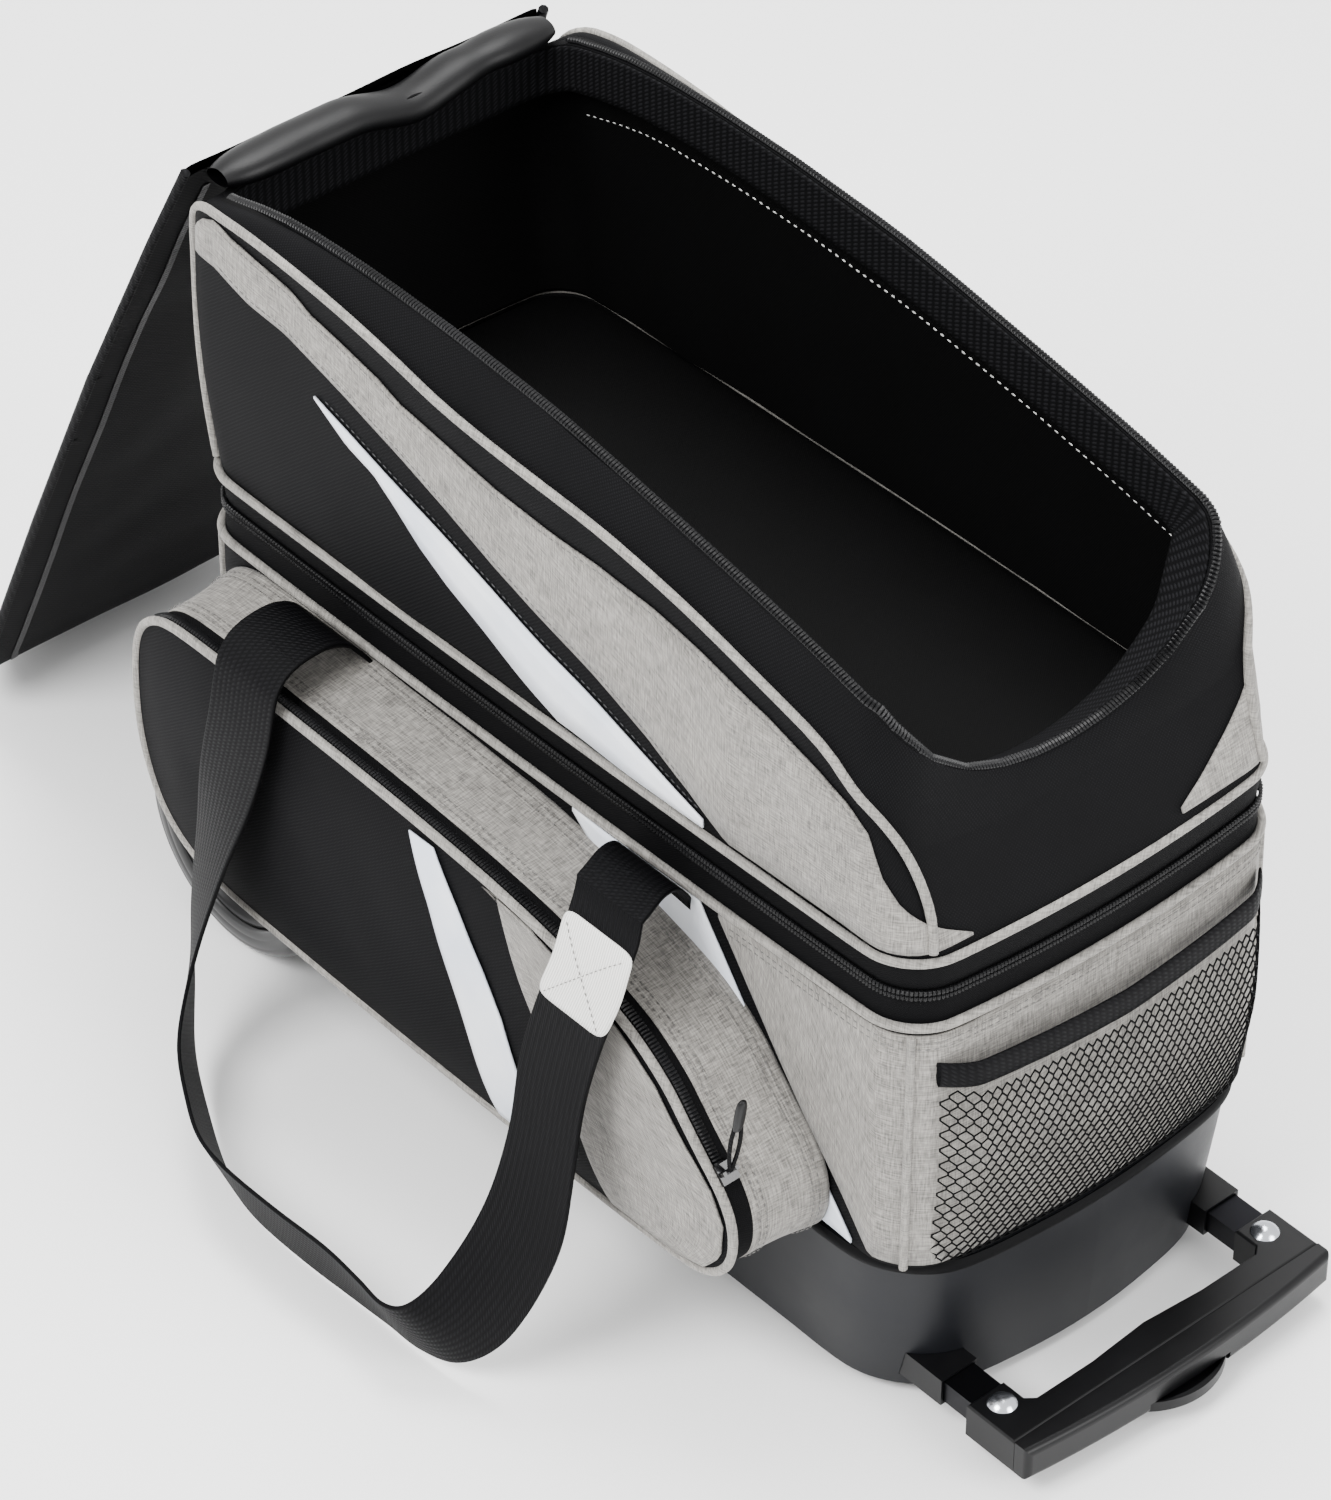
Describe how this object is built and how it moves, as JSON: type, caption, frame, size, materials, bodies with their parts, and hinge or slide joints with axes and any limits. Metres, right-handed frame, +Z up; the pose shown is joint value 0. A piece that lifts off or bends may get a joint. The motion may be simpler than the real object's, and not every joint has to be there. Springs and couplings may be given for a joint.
{
  "type": "rolling bowling bag",
  "caption": "Soft-sided rolling bowling bag with an open top shoe compartment, end lid, side pocket, carry straps, inline wheels and a pull handle.",
  "frame": {"origin": "under the middle of the whole object on the floor, lid hanging open", "axes": "+X from the wheel end to the pull handle, +Y away from the accessory pocket, +Z up"},
  "size_m": [0.9432, 0.5832, 0.4986],
  "materials": {
    "black_twill": "woven matt",
    "grey_melange": "woven heather",
    "white_vinyl": "smooth satin",
    "grey_piping": "woven cord",
    "black_webbing": "ribbed",
    "black_mesh": "open mesh",
    "black_lining": "smooth",
    "white_patch": "woven",
    "foam": "closed-cell foam",
    "zip_nylon": "satin",
    "charcoal_plastic": "satin moulded",
    "black_plastic": "moulded",
    "wheel_urethane": "glossy",
    "black_tube": "black anodised",
    "steel": "bright",
    "rivet_steel": "domed",
    "painted_zip_metal": "gloss black"
  },
  "bodies": {
    "base": {"base_tub": "charcoal_plastic", "base_feet": "black_plastic", "base_binding": "black_webbing", "ball_cradle": "foam", "lower_body": "grey_melange", "lower_piping": "grey_piping", "lower_tape": "black_webbing", "lower_coil": "zip_nylon", "belt_hinge": "black_webbing", "corner_piping": "grey_piping", "mesh_panel": "black_mesh", "mesh_binding": "black_webbing", "lower_blades": "white_vinyl", "axle_near": "steel", "axle_far": "steel", "handle_rails": "black_tube", "rail_clamps": "black_plastic", "rail_screws": "steel", "pocket_shell": "grey_melange", "pocket_piping": "grey_piping", "pocket_tape": "black_webbing", "pocket_coil": "zip_nylon", "pocket_blade": "white_vinyl"},
    "wheel_near": {"tyre_near": "wheel_urethane", "hub_near": "black_plastic", "hub_cap_near": "black_plastic", "bearings_near": "steel"},
    "wheel_far": {"tyre_far": "wheel_urethane", "hub_far": "black_plastic", "hub_cap_far": "black_plastic", "bearings_far": "steel"},
    "handle": {"handle_tubes": "black_tube", "grip_rivets": "rivet_steel", "grip_frame": "black_plastic", "grip_cover": "black_plastic"},
    "button": {"release_button": "black_plastic"},
    "upper_section": {"upper_body": "black_twill", "shoe_floor": "black_lining", "rim_facing": "black_mesh", "rim_coil": "zip_nylon", "upper_side_piping": "grey_piping", "upper_blades": "white_vinyl", "upper_bands": "grey_melange", "upper_coil": "zip_nylon", "upper_tape": "black_webbing", "upper_belt_piping": "grey_piping", "hinge_base": "black_webbing"},
    "lid_strip": {"hinge_roll": "black_lining"},
    "lid_rear_leaf": {"lid_rear": "black_twill", "lid_coil_rear": "zip_nylon"},
    "lid_front_leaf": {"lid_front": "black_twill", "lid_coil_front": "zip_nylon"},
    "lid_end_flap": {"lid_end": "black_twill", "lid_coil_end": "zip_nylon"},
    "strap_near_top": {"strap_near_root": "black_webbing"},
    "strap_near_loop": {"strap_near": "black_webbing", "strap_patch": "white_patch"},
    "strap_far_loop": {"strap_far": "black_webbing"},
    "zip_slider": {"pocket_slider": "painted_zip_metal"},
    "zip_pull": {"pocket_pull": "painted_zip_metal"}
  },
  "joints": [
    {"name": "wheel_near_spin", "type": "hinge", "parent": "base", "child": "wheel_near", "pos_m": [-0.147, -0.132, 0.0733], "axis": [0, 1, 0], "continuous": true},
    {"name": "wheel_far_spin", "type": "hinge", "parent": "base", "child": "wheel_far", "pos_m": [-0.147, 0.132, 0.0733], "axis": [0, 1, 0], "continuous": true},
    {"name": "handle_slide", "type": "slide", "parent": "base", "child": "handle", "axis": [1, 0, 0], "range_m": [0, 0.4]},
    {"name": "button_push", "type": "slide", "parent": "handle", "child": "button", "axis": [-1, 0, 0], "range_m": [0, 0.004], "stiffness_N_per_m": 400},
    {"name": "body_hinge", "type": "hinge", "parent": "base", "child": "upper_section", "pos_m": [0.1, 0.136, 0.2904], "axis": [-1, 0, 0], "range_deg": [0, 95]},
    {"name": "lid_root_fold", "type": "hinge", "parent": "upper_section", "child": "lid_strip", "pos_m": [-0.1624, 0, 0.493], "axis": [0, 1, 0], "range_deg": [0, 180]},
    {"name": "lid_hinge", "type": "hinge", "parent": "lid_strip", "child": "lid_rear_leaf", "pos_m": [-0.186, 0, 0.4888], "axis": [0, 1, 0], "range_deg": [0, 60.5]},
    {"name": "lid_mid_fold", "type": "hinge", "parent": "lid_rear_leaf", "child": "lid_front_leaf", "pos_m": [-0.26521, 0, 0.32272], "axis": [0, 1, 0], "range_deg": [0, 15.3]},
    {"name": "lid_end_fold", "type": "hinge", "parent": "lid_front_leaf", "child": "lid_end_flap", "pos_m": [-0.40083, 0, 0.03841], "axis": [0, 1, 0], "range_deg": [0, 26.7]},
    {"name": "strap_near_root_swing", "type": "hinge", "parent": "base", "child": "strap_near_top", "pos_m": [0.1, -0.139, 0.268], "axis": [-1, 0, 0], "range_deg": [0, 45]},
    {"name": "strap_near_swing", "type": "hinge", "parent": "strap_near_top", "child": "strap_near_loop", "pos_m": [0.1, -0.1825, 0.2874], "axis": [-1, 0, 0], "range_deg": [0, 120]},
    {"name": "strap_far_swing", "type": "hinge", "parent": "base", "child": "strap_far_loop", "pos_m": [0.1, 0.1395, 0.264], "axis": [-1, 0, 0], "range_deg": [-165, 0]},
    {"name": "slider_run", "type": "slide", "parent": "base", "child": "zip_slider", "axis": [-0.6822, 0, 0.7312], "range_m": [0, 0.04]},
    {"name": "pull_flip", "type": "hinge", "parent": "zip_slider", "child": "zip_pull", "pos_m": [0.3136, -0.1845, 0.17318], "axis": [0, 1, 0], "range_deg": [0, 115]}
  ]
}
